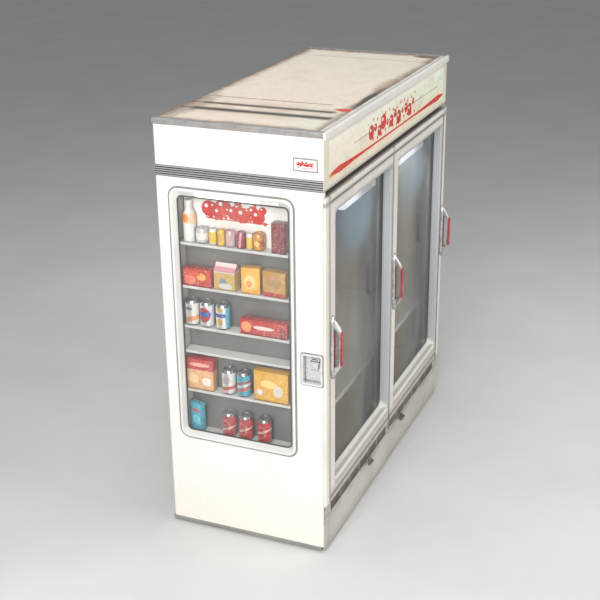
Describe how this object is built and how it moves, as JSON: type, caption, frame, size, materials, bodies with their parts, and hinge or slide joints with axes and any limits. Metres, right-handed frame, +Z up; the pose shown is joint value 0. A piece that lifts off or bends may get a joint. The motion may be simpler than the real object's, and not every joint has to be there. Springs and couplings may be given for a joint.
{
  "type": "soda can vending machine",
  "caption": "Two-door glass-front soda can vending cabinet with a lit display window and coin mechanism in one end, header sign board, pull handles and a vented skirt",
  "frame": {"origin": "Centre of the bounding box at floor level, under the middle of the cabinet.", "axes": "+Z is up. The glass doors face -Y. The display window and the coin mechanism face -X."},
  "size_m": [1.832, 0.848, 2],
  "materials": {
    "end_panel": "smooth white baked enamel",
    "cream_metal": "aged cream enamel",
    "roof": "aged cream enamel with rust stains",
    "dark_metal": "dark grey paint",
    "grey_metal": "grey paint",
    "zinc_sheet": "galvanised sheet",
    "trim_steel": "satin ribbed trim",
    "bright_chrome": "bright plating",
    "steel_part": "machined",
    "sign_board": "printed board",
    "white_trim": "moulded",
    "inner_liner": "vacuum-formed liner",
    "shelf_white": "white powder coat",
    "card": "matt card",
    "pane": "clear float glass",
    "seal": "soft",
    "foot_rubber": "moulded",
    "lamp_lens": "opal diffuser",
    "fin_stack": "finned coil",
    "fan_plastic": "moulded",
    "inlet_plastic": "moulded"
  },
  "bodies": {
    "cabinet": {"base_frame": "dark_metal", "end_panel_display": "end_panel", "end_panel_plain": "end_panel", "back_panel": "zinc_sheet", "power_inlet": "inlet_plastic", "top_panel": "roof", "top_trim_front": "white_trim", "cap_strip_display_end": "trim_steel", "cap_strip_plain_end": "trim_steel", "ribbed_band_display_end": "trim_steel", "ribbed_band_plain_end": "trim_steel", "badge_plate": "white_trim", "header_box": "cream_metal", "sign_panel": "sign_board", "door_frame": "cream_metal", "fixed_pull": "bright_chrome", "window_bezel": "white_trim", "window_glass": "pane", "display_case": "inner_liner", "display_header_card": "card", "display_lamp": "lamp_lens", "coin_bezel": "bright_chrome", "coin_slot_plate": "steel_part", "coin_box": "zinc_sheet", "compartment_liner": "inner_liner", "evaporator_coil": "fin_stack", "condenser_coil": "fin_stack", "compressor": "dark_metal", "foot_front_left": "foot_rubber", "foot_front_right": "foot_rubber", "foot_rear_left": "foot_rubber", "foot_rear_right": "foot_rubber", "door_1_pivot_pin": "steel_part", "door_1_pivot_bracket": "steel_part", "bay_1_shelf": "shelf_white", "bay_1_lamp": "lamp_lens", "skirt_panel_1": "cream_metal", "door_2_pivot_pin": "steel_part", "door_2_pivot_bracket": "steel_part", "bay_2_shelf": "shelf_white", "bay_2_lamp": "lamp_lens", "skirt_panel_2": "cream_metal", "display_shelf_1": "shelf_white", "display_shelf_2": "shelf_white", "display_shelf_3": "shelf_white", "display_shelf_4": "shelf_white", "display_shelf_5": "shelf_white"},
    "door_1": {"door_1_leaf": "cream_metal", "door_1_glass": "pane", "door_1_gasket": "seal", "door_1_pull": "bright_chrome"},
    "door_2": {"door_2_leaf": "cream_metal", "door_2_glass": "pane", "door_2_gasket": "seal", "door_2_pull": "bright_chrome"},
    "return_flap": {"coin_return_flap": "steel_part"},
    "catch_1": {"skirt_catch_1": "steel_part"},
    "catch_2": {"skirt_catch_2": "steel_part"},
    "evaporator_rotor": {"evaporator_fan": "fan_plastic"},
    "condenser_rotor": {"condenser_fan": "fan_plastic"}
  },
  "joints": [
    {"name": "door_1_hinge", "type": "hinge", "parent": "cabinet", "child": "door_1", "pos_m": [-0.016, -0.3605, 0.241], "axis": [0, 0, 1], "range_deg": [0, 90]},
    {"name": "door_2_hinge", "type": "hinge", "parent": "cabinet", "child": "door_2", "pos_m": [0.8445, -0.3605, 0.241], "axis": [0, 0, 1], "range_deg": [0, 90]},
    {"name": "return_flap_hinge", "type": "hinge", "parent": "cabinet", "child": "return_flap", "pos_m": [-0.8985, -0.3165, 0.966], "axis": [0, 1, 0], "range_deg": [0, 60]},
    {"name": "catch_1_turn", "type": "hinge", "parent": "cabinet", "child": "catch_1", "pos_m": [-0.28, -0.366, 0.15], "axis": [0, -1, 0], "range_deg": [0, 90]},
    {"name": "catch_2_turn", "type": "hinge", "parent": "cabinet", "child": "catch_2", "pos_m": [0.24, -0.366, 0.15], "axis": [0, -1, 0], "range_deg": [0, 90]},
    {"name": "evaporator_fan_spin", "type": "hinge", "parent": "cabinet", "child": "evaporator_rotor", "pos_m": [-0.01, 0.024, 1.696], "axis": [0, 0, 1], "continuous": true},
    {"name": "condenser_fan_spin", "type": "hinge", "parent": "cabinet", "child": "condenser_rotor", "pos_m": [-0.555, -0.234, 0.136], "axis": [0, -1, 0], "continuous": true}
  ]
}
